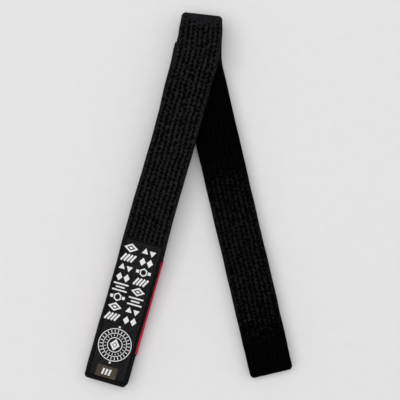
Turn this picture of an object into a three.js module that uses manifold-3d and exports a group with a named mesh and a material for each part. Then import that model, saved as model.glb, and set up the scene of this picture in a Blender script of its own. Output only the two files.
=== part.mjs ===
// A martial arts belt: a stitched cotton strip, folded to and fro into eight runs that lie as an
// upside-down V. Four runs make the right leg, which lies flat, and four make the left leg, which
// is folded over it at the apex and comes down to the floor. Millimetres, +Z up, +Y to the apex.
import * as THREE from "three";
import { mergeVertices } from "three/addons/utils/BufferGeometryUtils.js";
import Module from "manifold-3d";

// The strip.
const BELT_WIDTH = 40;
const BELT_THICK = 4.5;
const EDGE_CHAMFER = 1.3;
const COVER_WALL = 0.7;
const TIP_WALL = 1.5;
const GAP = 0.3; // between pieces that touch, and between layers

// How the folded belt lies, seen from above. A heading is an angle from +Y, clockwise.
const APEX_HEADING = 6.5;
const STEM_LENGTH = 22;
const LEFT_LEG = { heading: 16, turn: 34, length: 352, sidestep: -0.75 };
const RIGHT_LEG = { heading: -13.2, turn: 35, length: 341, sidestep: -0.3 };
const SIDESTEP_FADE = [60, 140];

// The runs of each leg, counted from the outside of the apex.
const LABEL_RUN = 1; // ends in the free end with the label
const BAR_RUN = 2; // ends in the free end with the rank bar
const INNER_RUN = 3;
const INNERMOST_RUN = 4;
const RUNS = [LABEL_RUN, BAR_RUN, INNER_RUN, INNERMOST_RUN];

// The folds. A loop is one of the four nested bends of the apex, counted from the outside.
const LOOP_STEP = 9;
const LOOP_LEAD = 4.5;
const END_NOSE = 16;
const INNER_FOLD_INSET = 10;
const END_LEAD = 1;
const LEFT_FOLD_INSET = 2;
const LEFT_FOLD_LEAD = 5;
const LOOP_FACETS = 12;
const FOLD_FACETS = 8;

// How the left leg comes down from the right leg to the floor.
const DESCENT_MARGIN = 6;
const REST_LENGTH = 17;

// Where the two free ends bend as they are lifted.
const FLEX_START = 60;
const FLEX_LENGTH = 16;

// The rank bar: a cloth sleeve round the free end of the second run.
const BAR_LENGTH = 90;
const BAR_FROM_END = 32;
const BAR_CLOTH = 0.8;
const BAR_SHIFT = 0.9;
const BAR_RAMP = 48;
const BAR_STITCH = 1.2;
const BAR_TIP_INSET = 1;

// The woven label, the size tag on it and the stitching of the ends.
const LABEL_WIDTH = 37;
const LABEL_LENGTH = 133;
const LABEL_FROM_END = 3;
const LABEL_SHIFT = 0.5;
const TAG_WIDTH = 19;
const TAG_LENGTH = 10.6;
const TAG_SHIFT = -1;
const PATCH_THICK = 0.4;
const THREAD_WIDTH = 0.6;
const THREAD_THICK = 0.3;
const THREAD_INSET = 1;
const CLOSING_THICK = 0.5;
const CLOSING_LENGTH = 1.2;
const LABEL_CLOSING_FROM_END = 1.2;
const BAR_CLOSING_FROM_END = 4;

// How finely the shapes are made.
const STATION = 20; // spacing of the sections along a run that curves
const NEAREST_STATION = 2; // the least distance from one of them to the end of its stretch
const TANGENT_STEP = 0.05;
const CUT_OVERRUN = 1; // how far a cutting solid stands out of what it cuts
const MERGE_DISTANCE = 1e-4;

// What follows from the sizes above.
const PITCH = BELT_THICK + GAP;
const HALF_THICK = BELT_THICK / 2;
const CAVITY_WIDTH = BELT_WIDTH - 2 * COVER_WALL - EDGE_CHAMFER;
const CAVITY_THICK = BELT_THICK - 2 * COVER_WALL;
const RIGHT_STACK = RUNS.length * PITCH;
const SHARPEST_BEND = PITCH / 2;
const INNERMOST_NOSE = (INNERMOST_RUN - 1) * LOOP_STEP + HALF_THICK;
const LOOP_PLANE = INNERMOST_NOSE + SHARPEST_BEND; // where all four loops begin to bend
const APEX_PLANE = LOOP_PLANE + LOOP_LEAD;
const RIGHT_NOSE = RIGHT_LEG.length - HALF_THICK;
const RIGHT_PLANE = RIGHT_NOSE - END_NOSE - END_LEAD;
const LEFT_NOSE = LEFT_LEG.length - LEFT_FOLD_INSET - HALF_THICK;
const LEFT_PLANE = LEFT_NOSE - SHARPEST_BEND - LEFT_FOLD_LEAD;
const BAR_TIP = LEFT_LEG.length - BAR_TIP_INSET;
const BAR_END = LEFT_LEG.length - BAR_FROM_END;
const BAR_START = BAR_END - BAR_LENGTH;
const BAR_LIFT = BAR_CLOTH + GAP;
const BAR_FLEX = [FLEX_START, FLEX_START + FLEX_LENGTH];
const LABEL_FLEX = [BAR_FLEX[1], BAR_FLEX[1] + FLEX_LENGTH];
const TAG_FROM_END = LABEL_FROM_END + THREAD_INSET + THREAD_WIDTH + GAP;

const wasm = await Module();
wasm.setup();

// ---------------------------------------------------------------- where the strip runs

const UP = new THREE.Vector3(0, 0, 1);
const radians = THREE.MathUtils.degToRad;
const smoothstep = THREE.MathUtils.smoothstep;
const forward = (heading) => new THREE.Vector3(0, 1, 0).applyAxisAngle(UP, -radians(heading));
const rightward = (heading) => new THREE.Vector3(1, 0, 0).applyAxisAngle(UP, -radians(heading));

// The middle line of a leg from above: a straight stem, a round turn, then straight. The reach is
// the distance back from the apex along that line.
function legPoint(leg, reach) {
  const swing = radians(leg.heading - APEX_HEADING);
  const stem = Math.min(reach, STEM_LENGTH);
  const inTurn = THREE.MathUtils.clamp((reach - STEM_LENGTH) / leg.turn, 0, 1);
  const beyond = Math.max(reach - STEM_LENGTH - leg.turn, 0);
  const heading = APEX_HEADING + (leg.heading - APEX_HEADING) * inTurn;
  const half = (swing * inTurn) / 2;
  const chord = half === 0 ? 0 : leg.turn * inTurn * (Math.sin(half) / half);
  const point = new THREE.Vector3()
    .addScaledVector(forward(APEX_HEADING), -stem)
    .addScaledVector(forward((APEX_HEADING + heading) / 2), -chord)
    .addScaledVector(forward(leg.heading), -beyond);
  return { point, heading };
}

// A point on the edge of a leg where its turn ends: side is 1 for the right edge and -1 for the left.
function edgeAfterTurn(leg, side) {
  const { point } = legPoint(leg, STEM_LENGTH + leg.turn);
  return point.addScaledVector(rightward(leg.heading), (side * BELT_WIDTH) / 2);
}

// The reach at which the left leg's inner edge leaves the right leg's.
function forkReach() {
  const between = edgeAfterTurn(RIGHT_LEG, -1).sub(edgeAfterTurn(LEFT_LEG, 1));
  const leftWay = forward(LEFT_LEG.heading).negate();
  const rightWay = forward(RIGHT_LEG.heading).negate();
  return STEM_LENGTH + LEFT_LEG.turn + between.cross(rightWay).z / leftWay.cross(rightWay).z;
}

const DESCENT_START = forkReach() + DESCENT_MARGIN;
const DESCENT_END = LEFT_LEG.length - REST_LENGTH;

// How high the underside of the whole left leg is.
function leftBase(reach) {
  return RIGHT_STACK * (1 - smoothstep(reach, DESCENT_START, DESCENT_END));
}

// How much of its sidestep a run has: none at the apex, all of it where the legs part, none further on.
function sidestepShare(reach) {
  return smoothstep(reach, 0, APEX_PLANE) * (1 - smoothstep(reach, ...SIDESTEP_FADE));
}

// The middle line of one run. Runs count from the outside of the apex, so run 1 is the lowest of the
// right leg and the highest of the left.
const rightRun = (run) => (reach) => {
  const { point, heading } = legPoint(RIGHT_LEG, reach);
  const sidestep = RIGHT_LEG.sidestep * (run - INNERMOST_RUN) * sidestepShare(reach);
  point.addScaledVector(rightward(heading), sidestep);
  point.z = (run - LABEL_RUN) * PITCH + HALF_THICK;
  return { point, heading };
};

const leftRun = (run) => (reach) => {
  const { point, heading } = legPoint(LEFT_LEG, reach);
  const bar = smoothstep(reach, BAR_START - BAR_RAMP, BAR_START);
  const barClothsBeneath = Math.max(BAR_RUN + 1 - run, 0);
  const barShift = run === BAR_RUN ? BAR_SHIFT * bar : 0;
  const sidestep = LEFT_LEG.sidestep * (run - LABEL_RUN) * sidestepShare(reach);
  point.addScaledVector(rightward(heading), sidestep + barShift);
  const bottom = leftBase(reach) + (INNERMOST_RUN - run) * PITCH + barClothsBeneath * BAR_LIFT * bar;
  point.z = bottom + HALF_THICK;
  return { point, heading };
};

// A bend from a lower run to an upper one, round a nose. The place along it is an angle from 0 to
// 180 degrees, and beyond those the bend goes on straight along its runs, in millimetres.
function bend(lower, upper, nose, plane) {
  const height = (upper(nose).point.z - lower(nose).point.z) / 2;
  const bulge = Math.min(Math.abs(plane - nose), height ** 2 / SHARPEST_BEND);
  const side = Math.sign(plane - nose);
  const start = nose + side * bulge;
  const line = (place) => {
    const angle = radians(THREE.MathUtils.clamp(place, 0, 180) - 90);
    const beyond = Math.max(-place, place - 180, 0);
    const reach = start - side * bulge * Math.cos(angle) + side * beyond;
    const share = (1 + Math.sin(angle)) / 2;
    const low = lower(reach);
    const high = upper(reach);
    return {
      point: low.point.lerp(high.point, share),
      heading: THREE.MathUtils.lerp(low.heading, high.heading, share),
    };
  };
  return { line, start, side };
}

// ---------------------------------------------------------------- sections and sweeps

// The curve that an extrusion follows, with the strip's own frame at each of its sections.
class StripPath extends THREE.Curve {
  constructor(line, places) {
    super();
    this.frames = places.map((place) => {
      const along = line(place + TANGENT_STEP).point.sub(line(place - TANGENT_STEP).point).normalize();
      const { point, heading } = line(place);
      const across = rightward(heading);
      return { point, along, across, through: along.clone().cross(across).normalize() };
    });
  }

  getSpacedPoints() {
    return this.frames.map((frame) => frame.point);
  }

  computeFrenetFrames() {
    return {
      tangents: this.frames.map((frame) => frame.along),
      normals: this.frames.map((frame) => frame.across),
      binormals: this.frames.map((frame) => frame.through),
    };
  }
}

// A rectangle with cut corners, about a middle that may lie beside or above the strip's own.
function section(width, thick, chamfer = 0, middle = [0, 0]) {
  const [x, y] = [width / 2, thick / 2];
  const corners = [[1, -1], [1, 1], [-1, 1], [-1, -1]];
  const points = corners.flatMap(([sx, sy]) => {
    if (chamfer === 0) return [[sx * x, sy * y]];
    const upright = [sx * x, sy * (y - chamfer)];
    const level = [sx * (x - chamfer), sy * y];
    return sx * sy < 0 ? [level, upright] : [upright, level];
  });
  return points.map(([px, py]) => new THREE.Vector2(px + middle[0], py + middle[1]));
}

const beltSection = () => section(BELT_WIDTH, BELT_THICK, EDGE_CHAMFER);
const cavitySection = () => section(CAVITY_WIDTH, CAVITY_THICK);
const coreSection = () => section(CAVITY_WIDTH - 2 * GAP, CAVITY_THICK - 2 * GAP);

function sweep(outline, line, places, hole) {
  const shape = new THREE.Shape(outline);
  if (hole) shape.holes.push(new THREE.Path(hole));
  const extrudePath = new StripPath(line, places);
  return new THREE.ExtrudeGeometry(shape, { steps: places.length - 1, extrudePath });
}

// Places along a run: both ends, and the stations between them as far as the run curves.
function runPlaces(from, to, straightFrom = to) {
  const places = [from];
  const first = STATION * Math.ceil((from + NEAREST_STATION) / STATION);
  const last = Math.min(to - NEAREST_STATION, straightFrom);
  for (let at = first; at <= last; at += STATION) places.push(at);
  return [...places, to];
}

// Places round a bend, from the plane where its lower run ends to the same plane on the upper one.
function bendPlaces(shape, plane, facets) {
  const straight = Math.abs(plane - shape.start) - GAP / 2;
  const round = Array.from({ length: facets + 1 }, (_, i) => (180 * i) / facets);
  return [-straight, ...round, 180 + straight];
}

// ---------------------------------------------------------------- joining and cutting

function solid(geometry) {
  const bare = geometry.clone();
  bare.deleteAttribute("normal");
  bare.deleteAttribute("uv");
  const merged = mergeVertices(bare, MERGE_DISTANCE);
  const vertProperties = merged.attributes.position.array;
  const triVerts = new Uint32Array(merged.index.array);
  return new wasm.Manifold(new wasm.Mesh({ numProp: 3, vertProperties, triVerts }));
}

function geometryOf(body) {
  const { vertProperties, triVerts } = body.getMesh();
  const geometry = new THREE.BufferGeometry();
  geometry.setAttribute("position", new THREE.BufferAttribute(vertProperties, 3));
  geometry.setIndex(new THREE.BufferAttribute(triVerts, 1));
  geometry.computeVertexNormals();
  return geometry;
}

const cut = (body, tool) => geometryOf(solid(body).subtract(solid(tool)));

// ---------------------------------------------------------------- materials and nodes

const finish = (color, roughness) => new THREE.MeshStandardMaterial({ color, roughness, metalness: 0 });
const FINISHES = {
  cover: () => finish(0x1a1a1c, 0.9),
  core: () => finish(0xcfc6b4, 0.95),
  bar: () => finish(0xb3122a, 0.85),
  label: () => finish(0x0c0c0d, 0.55),
  tag: () => finish(0x645a50, 0.7),
  thread: () => finish(0x141416, 0.6),
};

const belt = new THREE.Group();
const rightLeg = new THREE.Group();
const leftLeg = new THREE.Group();
const labelEnd = new THREE.Group();
const barEnd = new THREE.Group();
belt.add(rightLeg, leftLeg, barEnd, labelEnd);

function add(group, name, geometry, finishName) {
  const mesh = new THREE.Mesh(geometry, FINISHES[finishName]());
  mesh.name = name;
  group.add(mesh);
}

// A stretch of belt: its cover, a tube of cotton cloth open at both ends, and the core inside it.
function addStrip(group, name, line, places) {
  add(group, `cover_${name}`, sweep(beltSection(), line, places, cavitySection()), "cover");
  add(group, `core_${name}`, sweep(coreSection(), line, places), "core");
}

function addRun(group, name, line, from, to, straightFrom) {
  addStrip(group, name, line, runPlaces(from + GAP / 2, to - GAP / 2, straightFrom));
}

// A stretch that ends in one of the belt's two tips, where the cover is folded in and closed.
function addTip(group, name, line, from, tip) {
  const start = from + GAP / 2;
  const full = sweep(beltSection(), line, runPlaces(start, tip));
  const cavity = sweep(cavitySection(), line, runPlaces(start - CUT_OVERRUN, tip - TIP_WALL));
  add(group, `cover_${name}`, cut(full, cavity), "cover");
  add(group, `core_${name}`, sweep(coreSection(), line, runPlaces(start, tip - TIP_WALL - GAP)), "core");
}

function addBend(group, name, shape, plane, facets) {
  addStrip(group, name, shape.line, bendPlaces(shape, plane, facets));
}

// A band round the belt: the rank bar's cloth, or thread sewn over the edges.
function addBand(group, name, line, from, to, thick, finishName) {
  const inner = section(BELT_WIDTH + 2 * GAP, BELT_THICK + 2 * GAP, EDGE_CHAMFER);
  const grown = 2 * (GAP + thick);
  const outer = section(BELT_WIDTH + grown, BELT_THICK + grown, EDGE_CHAMFER + thick / 2);
  add(group, name, sweep(outer, line, runPlaces(from, to), inner), finishName);
}

// A flat patch on the upper face, and the seam of thread sewn round inside its edges.
function addPatch(group, name, { width, from, to, side, height, finishName }) {
  const line = leftRun(LABEL_RUN);
  const patchMiddle = [side, height + PATCH_THICK / 2];
  const patch = section(width, PATCH_THICK, 0, patchMiddle);
  add(group, name, sweep(patch, line, runPlaces(from, to)), finishName);
  const seamHeight = height + PATCH_THICK + GAP;
  const seamMiddle = [side, seamHeight + THREAD_THICK / 2];
  const seamFrom = from + THREAD_INSET;
  const seamTo = to - THREAD_INSET;
  const seamWidth = width - 2 * THREAD_INSET;
  const whole = section(seamWidth, THREAD_THICK, 0, seamMiddle);
  const insideWidth = seamWidth - 2 * THREAD_WIDTH;
  const inside = section(insideWidth, THREAD_THICK + 2 * CUT_OVERRUN, 0, seamMiddle);
  const insidePlaces = runPlaces(seamFrom + THREAD_WIDTH, seamTo - THREAD_WIDTH);
  const seam = cut(sweep(whole, line, runPlaces(seamFrom, seamTo)), sweep(inside, line, insidePlaces));
  add(group, `${name}_stitching`, seam, "thread");
}

// ---------------------------------------------------------------- the belt, piece by piece

function buildRightLeg() {
  const straightFrom = SIDESTEP_FADE[1];
  for (const run of RUNS) {
    addRun(rightLeg, `right_run_${run}`, rightRun(run), APEX_PLANE, RIGHT_PLANE, straightFrom);
  }
  const outermost = [rightRun(LABEL_RUN), rightRun(INNERMOST_RUN)];
  const outer = bend(...outermost, RIGHT_NOSE, RIGHT_NOSE - END_NOSE);
  addBend(rightLeg, "outer_end_fold", outer, RIGHT_PLANE, LOOP_FACETS);
  const middle = [rightRun(BAR_RUN), rightRun(INNER_RUN)];
  const inner = bend(...middle, RIGHT_NOSE - INNER_FOLD_INSET, RIGHT_PLANE);
  addBend(rightLeg, "inner_end_fold", inner, RIGHT_PLANE, FOLD_FACETS);
}

function buildApex() {
  for (const run of RUNS) {
    const nose = (run - LABEL_RUN) * LOOP_STEP + HALF_THICK;
    const shape = bend(rightRun(run), leftRun(run), nose, LOOP_PLANE);
    addBend(rightLeg, `apex_loop_${run}`, shape, APEX_PLANE, LOOP_FACETS);
  }
}

function buildLeftLeg() {
  for (const run of [INNER_RUN, INNERMOST_RUN]) {
    addRun(leftLeg, `left_run_${run}`, leftRun(run), APEX_PLANE, LEFT_PLANE);
  }
  const fold = bend(leftRun(INNERMOST_RUN), leftRun(INNER_RUN), LEFT_NOSE, LEFT_PLANE);
  addBend(leftLeg, "left_end_fold", fold, LEFT_PLANE, FOLD_FACETS);
  addRun(leftLeg, "bar_root", leftRun(BAR_RUN), APEX_PLANE, BAR_FLEX[0]);
  addRun(leftLeg, "bar_flex", leftRun(BAR_RUN), ...BAR_FLEX);
  addRun(leftLeg, "label_root", leftRun(LABEL_RUN), APEX_PLANE, BAR_FLEX[0]);
  addRun(leftLeg, "label_flex_over_bar", leftRun(LABEL_RUN), ...BAR_FLEX);
}

function buildBarEnd() {
  const line = leftRun(BAR_RUN);
  addTip(barEnd, "bar_end", line, BAR_FLEX[1], BAR_TIP);
  addBand(barEnd, "rank_bar_sleeve", line, BAR_START, BAR_END, BAR_CLOTH, "bar");
  const seams = { inner: BAR_START - GAP - BAR_STITCH, outer: BAR_END + GAP };
  for (const [side, from] of Object.entries(seams)) {
    addBand(barEnd, `rank_bar_${side}_stitching`, line, from, from + BAR_STITCH, BAR_CLOTH, "thread");
  }
  const closingTo = BAR_TIP - BAR_CLOSING_FROM_END;
  const closing = [closingTo - CLOSING_LENGTH, closingTo, CLOSING_THICK, "thread"];
  addBand(barEnd, "bar_end_closing_stitch", line, ...closing);
}

function buildLabelEnd() {
  const line = leftRun(LABEL_RUN);
  const tip = LEFT_LEG.length;
  addRun(labelEnd, "label_flex", line, ...LABEL_FLEX);
  addTip(labelEnd, "label_end", line, LABEL_FLEX[1], tip);
  const closingTo = tip - LABEL_CLOSING_FROM_END;
  const closing = [closingTo - CLOSING_LENGTH, closingTo, CLOSING_THICK, "thread"];
  addBand(labelEnd, "label_end_closing_stitch", line, ...closing);
  addPatch(labelEnd, "woven_label", {
    width: LABEL_WIDTH,
    from: tip - LABEL_FROM_END - LABEL_LENGTH,
    to: tip - LABEL_FROM_END,
    side: LABEL_SHIFT,
    height: HALF_THICK + GAP,
    finishName: "label",
  });
  addPatch(labelEnd, "size_tag", {
    width: TAG_WIDTH,
    from: tip - TAG_FROM_END - TAG_LENGTH,
    to: tip - TAG_FROM_END,
    side: TAG_SHIFT,
    height: HALF_THICK + GAP + PATCH_THICK + GAP,
    finishName: "tag",
  });
}

buildRightLeg();
buildApex();
buildLeftLeg();
buildBarEnd();
buildLabelEnd();

// The origin is on the floor, under the middle of the belt's outline.
const middle = new THREE.Box3().setFromObject(belt).getCenter(new THREE.Vector3());
belt.position.set(-middle.x, -middle.y, 0);

export default belt;
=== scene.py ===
"""A folded martial arts belt: a quilted strip of black cotton that runs eight times between an apex
and two ends, with a red rank bar, a woven label and a size tag. Metres, +Z up, +Y to the apex."""
import math

import bpy
import numpy as np
from mathutils import Matrix, Vector


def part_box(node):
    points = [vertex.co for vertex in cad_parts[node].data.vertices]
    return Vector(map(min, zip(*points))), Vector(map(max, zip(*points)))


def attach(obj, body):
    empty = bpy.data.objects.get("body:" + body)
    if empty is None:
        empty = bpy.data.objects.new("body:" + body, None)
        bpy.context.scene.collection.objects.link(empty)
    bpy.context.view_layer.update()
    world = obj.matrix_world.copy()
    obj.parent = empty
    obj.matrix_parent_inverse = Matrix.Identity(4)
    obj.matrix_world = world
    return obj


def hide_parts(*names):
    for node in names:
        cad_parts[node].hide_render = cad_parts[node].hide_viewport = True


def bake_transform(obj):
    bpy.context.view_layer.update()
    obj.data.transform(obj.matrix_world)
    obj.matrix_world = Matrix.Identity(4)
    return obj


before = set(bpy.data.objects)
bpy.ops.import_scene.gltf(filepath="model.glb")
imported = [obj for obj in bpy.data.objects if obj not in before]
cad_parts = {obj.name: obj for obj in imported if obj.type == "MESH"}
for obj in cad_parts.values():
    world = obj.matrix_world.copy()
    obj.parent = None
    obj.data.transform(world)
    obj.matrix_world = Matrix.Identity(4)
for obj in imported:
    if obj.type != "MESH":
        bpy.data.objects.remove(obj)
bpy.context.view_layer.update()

MM = 0.001

# The strip, and how the folded belt lies: the same sizes as the CAD model's.
BELT_WIDTH = 40 * MM
BELT_THICK = 4.5 * MM
GAP = 0.3 * MM
APEX_HEADING = 6.5
STEM_LENGTH = 22 * MM
LEFT_LEG = {"heading": 16, "turn": 34 * MM, "length": 352 * MM, "sidestep": -0.75 * MM}
RIGHT_LEG = {"heading": -13.2, "turn": 35 * MM, "length": 341 * MM, "sidestep": -0.3 * MM}
SIDESTEP_FADE = (60 * MM, 140 * MM)
LABEL_RUN, BAR_RUN, INNER_RUN, INNERMOST_RUN = 1, 2, 3, 4
LOOP_STEP = 9 * MM
LOOP_LEAD = 4.5 * MM
END_NOSE = 16 * MM
INNER_FOLD_INSET = 10 * MM
END_LEAD = 1 * MM
LEFT_FOLD_INSET = 2 * MM
LEFT_FOLD_LEAD = 5 * MM
DESCENT_MARGIN = 6 * MM
REST_LENGTH = 17 * MM
FLEX_START = 60 * MM
FLEX_LENGTH = 16 * MM
BAR_LENGTH = 90 * MM
BAR_FROM_END = 32 * MM
BAR_CLOTH = 0.8 * MM
BAR_SHIFT = 0.9 * MM
BAR_RAMP = 48 * MM
BAR_TIP_INSET = 1 * MM
LABEL_WIDTH = 37 * MM
LABEL_LENGTH = 133 * MM
LABEL_FROM_END = 3 * MM
LABEL_SHIFT = 0.5 * MM
TAG_WIDTH = 19 * MM
TAG_LENGTH = 10.6 * MM
TAG_FROM_END = 4.9 * MM
TAG_SHIFT = -1 * MM
PATCH_THICK = 0.4 * MM

# What follows from those sizes.
PITCH = BELT_THICK + GAP
HALF_THICK = BELT_THICK / 2
HALF_WIDTH = BELT_WIDTH / 2
RIGHT_STACK = INNERMOST_RUN * PITCH
SHARPEST_BEND = PITCH / 2
LOOP_PLANE = (INNERMOST_RUN - 1) * LOOP_STEP + HALF_THICK + SHARPEST_BEND
APEX_PLANE = LOOP_PLANE + LOOP_LEAD
RIGHT_NOSE = RIGHT_LEG["length"] - HALF_THICK
RIGHT_PLANE = RIGHT_NOSE - END_NOSE - END_LEAD
LEFT_NOSE = LEFT_LEG["length"] - LEFT_FOLD_INSET - HALF_THICK
LEFT_PLANE = LEFT_NOSE - SHARPEST_BEND - LEFT_FOLD_LEAD
LABEL_TIP = LEFT_LEG["length"]
BAR_TIP = LABEL_TIP - BAR_TIP_INSET
BAR_END = LABEL_TIP - BAR_FROM_END
BAR_START = BAR_END - BAR_LENGTH
BAR_LIFT = BAR_CLOTH + GAP
BAR_FLEX = (FLEX_START, FLEX_START + FLEX_LENGTH)
LABEL_FLEX = (BAR_FLEX[1], BAR_FLEX[1] + FLEX_LENGTH)

FACES = (1, -1)  # the face of the strip that its direction through points out of, and the other
LOOP_STRAY = {1: -0.9 * MM, 2: 0.2 * MM, 3: 0.5 * MM, 4: -1.1 * MM}  # rightwards, run by run
STRAY_REACH = 14 * MM  # how far back from its loop a run of the left leg strays

# The quilting: eight rows of stitches through the whole strip.
ROWS = 8
ROW_PITCH = 4.45 * MM
STITCH = 3.9 * MM
STITCH_JITTER = 0.6 * MM
HOLE_STRAY = 0.55 * MM
HOLE_STRENGTH = (0.5, 1.2)
HOLES_DRAWN = 1024
STITCH_SINK = 0.5 * MM
ROW_PLACES = (np.arange(ROWS) - (ROWS - 1) / 2) * ROW_PITCH
GROOVE_DEPTH = 0.24 * MM
GROOVE_WIDTH = 0.9 * MM
PIT_DEPTH = 0.85 * MM
PIT_WIDTH = 0.92 * MM
PIT_LENGTH = 1.02 * MM
DEEPEST = GROOVE_DEPTH + PIT_DEPTH
# Two waves of each stray: how far, over what length, how it differs from place to place, and where
# it starts. The sewing's waves differ across the strip, and a layer's from layer to layer.
SEWING_WAVES = ((0.2 * MM, 8 * MM, 90, 0), (0.12 * MM, 3.1 * MM, 260, 1.7))
LAYER_WAVES = ((0.28 * MM, 19 * MM, 2.1), (0.1 * MM, 6.3 * MM, 4.7))
SWAY_START = 14 * MM
EDGE_ROUND = 2 * MM
RIB_PITCH = 1.1 * MM
RIB_DEPTH = 0.13 * MM
RIBS_START = 16.9 * MM
TIP_CORNER = 3.6 * MM
TIP_ROUND = 1.5 * MM
TIP_THINNEST = 0.02  # as a share of TIP_ROUND
TIP_PLAIN = (1.5 * MM, 4 * MM)  # how far from a tip the quilting starts, and is whole
THREAD_RADIUS = 0.24 * MM
THREAD_SUNK = 0.02 * MM  # so that no stitch stands out of the faces that part when a fold opens

# How the cotton is painted dark where it is drawn in, as painted shade in its pits, grooves and
# seams, lighter from rubbing where it stands out, and how the threads of a cloth show.
WORN_LIT_LAYERS = (1, 2)  # the layers with the belt's free ends, which are handled most and get the lighter copy of the cotton; the other layers, with the right leg's top, get a darker copy as painted shade
# How unevenly the edge of the painted shade in the hollows wanders.
SHADE_EDGE_UNEVEN = 0.22
SHADE_DEEPENING = 0.32  # how much further in than it is, as a share of DEEPEST, the cotton counts where it is painted dark as shade
# How far each way from the right leg's end fold its top is painted dark: painted shade where the
# fold turns away from the light.
END_SHADE_REACH = 48 * MM
CROSSING_SHADOW = (75 * MM, 55 * MM)  # painted shadow of the left leg on the right leg's top: how far from the loop's middle, and how far each way
# How light a cloth is between its threads, and how much lighter on them: painted shade between the
# threads.
CLOTH_LIGHT = 0.6
THREAD_LIGHT = 0.5
DULLER_BETWEEN = 0.12  # how much rougher a cloth is between its threads than on them

# The rank bar's sleeve, and how far its two faces are from the strip.
BAR_INSIDE = 0.28 * MM
BAR_OUTSIDE = 0.8 * MM
BAR_STATION = 1.5 * MM
HEM = 5 * MM
HEM_RISE = 0.2 * MM
HEM_STEP = 1 * MM
PUCKER = 0.05 * MM
PUCKER_AROUND = 1.1
PUCKER_TURN = 3
PUCKER_ALONG = 9 * MM
OVERCAST_STEP = 0.62 * MM
OVERCAST_HALF = 0.75 * MM
OVERCAST_RADIUS = 0.9 * THREAD_RADIUS
OVERCAST_LEAN = 0.18
ON_THE_RUN = 5 * MM  # how much of a run each way gives the directions at one place of it

# The woven label and the size tag on it, with heights above the middle of the strip under them.
LABEL_BASE = HALF_THICK + 0.1 * MM
LABEL_TOP = LABEL_BASE + PATCH_THICK
TAG_BASE = LABEL_TOP + 0.1 * MM
TAG_CURL = 0.7 * MM
CURL_START = 0.45  # as a share of the length
PATCH_STATION = 0.75 * MM
PATTERN_RISE = 0.1 * MM
SIGNS_SUNK = 0.03 * MM
SEAM_INSET = 1.3 * MM
SEAM_DEPTH = 0.2 * MM
SEAM_SPREAD = 0.7 * MM
EDGE_DROP = 0.12 * MM
EDGE_WIDTH = 1 * MM
PILLOW = 0.05 * MM
PILLOW_ALONG = 5 * MM
PILLOW_ACROSS = 40
PILLOW_START = (1 * MM, 3 * MM)
SEAM_STITCH = 2.2 * MM
SEAM_REACH = (SEAM_STITCH - 0.35 * MM) / 2
SEAM_RADIUS = 0.75 * THREAD_RADIUS
CLOSING_STITCH = 2.4 * MM
LABEL_CLOSING_FROM_END = 1.8 * MM
BAR_CLOSING_FROM_END = 4.6 * MM

# The white signs of the label: their cells' middles across the strip, and places back from its tip.
SIGN_PITCH = 9.45 * MM
SIGN_HALF_WIDTH = 6.9 * MM
SIGN_HALF_HEIGHT = 4.1 * MM
SIGNS_FROM_TIP = 56.6 * MM
SIGN_COLUMNS = (
    (6.9 * MM, (0, 4, 2, 1, 3, 5, 0, 4)),
    (-9.95 * MM, (3, 1, 5, 2, 0, 4, 3, 1)),
)
ROUNDEL_RADIUS = 15.5 * MM
ROUNDEL_PLACE = (-0.35 * MM, 36.3 * MM)
ROUNDEL_MARKS = 26
ROUNDEL_TICKS = 20
TALLY_HALF_SIZE = (0.85 * MM, 2.9 * MM)
TALLY_STEP = 3.1 * MM
TALLY_LEAN = -8

# The camera, straight above, and the light.
CAMERA_PLACE = (10.8 * MM, 0.1 * MM, 1.22)
CAMERA_LENS = 117.1
CAMERA_SENSOR = 36
SKY_STRENGTH = 0.3
LAMP_SIZE = 2.2
LAMPS = (("left_lamp", (-0.55, 0.15, 2.6), 39.5), ("right_lamp", (0.55, 0.3, 2.6), 21))
FLOOR_SIZE = 24
FLOOR_CUTS = 12
FLOOR_DARK = (0.76, 0.76, 0.76)
FLOOR_LIGHT = (0.82, 0.82, 0.82)

STATION = 1 * MM  # between the sections of a strip
FINE = 0.25 * MM  # between the points of the line it follows

randomness = np.random.default_rng(7)
ROW_PHASE = randomness.uniform(0, STITCH, ROWS)
HOLE_JITTER = randomness.uniform(-STITCH_JITTER, STITCH_JITTER, (ROWS, HOLES_DRAWN))
HOLE_ASIDE = randomness.uniform(-HOLE_STRAY, HOLE_STRAY, (ROWS, HOLES_DRAWN))
HOLE_SHARE = randomness.uniform(*HOLE_STRENGTH, (ROWS, HOLES_DRAWN))


# ------------------------------------------------------------------ where the strip runs

def smoothstep(x, low, high):
    t = np.clip((np.asarray(x, float) - low) / (high - low), 0, 1)
    return t * t * (3 - 2 * t)


def forward(heading):
    turn = np.radians(heading)
    return np.stack([np.sin(turn), np.cos(turn), np.zeros_like(turn)], -1)


def rightward(heading):
    turn = np.radians(heading)
    return np.stack([np.cos(turn), -np.sin(turn), np.zeros_like(turn)], -1)


def leg_line(leg, reach):
    """The middle line of a leg from above, back from the apex: a stem, a turn, then straight."""
    reach = np.atleast_1d(np.asarray(reach, float))
    stem = np.minimum(reach, STEM_LENGTH)
    in_turn = np.clip((reach - STEM_LENGTH) / leg["turn"], 0, 1)
    beyond = np.maximum(reach - STEM_LENGTH - leg["turn"], 0)
    heading = APEX_HEADING + (leg["heading"] - APEX_HEADING) * in_turn
    half = np.radians(heading - APEX_HEADING) / 2
    chord = leg["turn"] * in_turn * np.sinc(half / np.pi)
    point = -stem[:, None] * forward(np.full_like(reach, APEX_HEADING))
    point = point - chord[:, None] * forward((APEX_HEADING + heading) / 2)
    point = point - beyond[:, None] * forward(np.full_like(reach, leg["heading"]))
    return point, heading


def edge_after_turn(leg, side):
    point, heading = leg_line(leg, STEM_LENGTH + leg["turn"])
    return point[0] + side * HALF_WIDTH * rightward(heading)[0]


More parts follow.
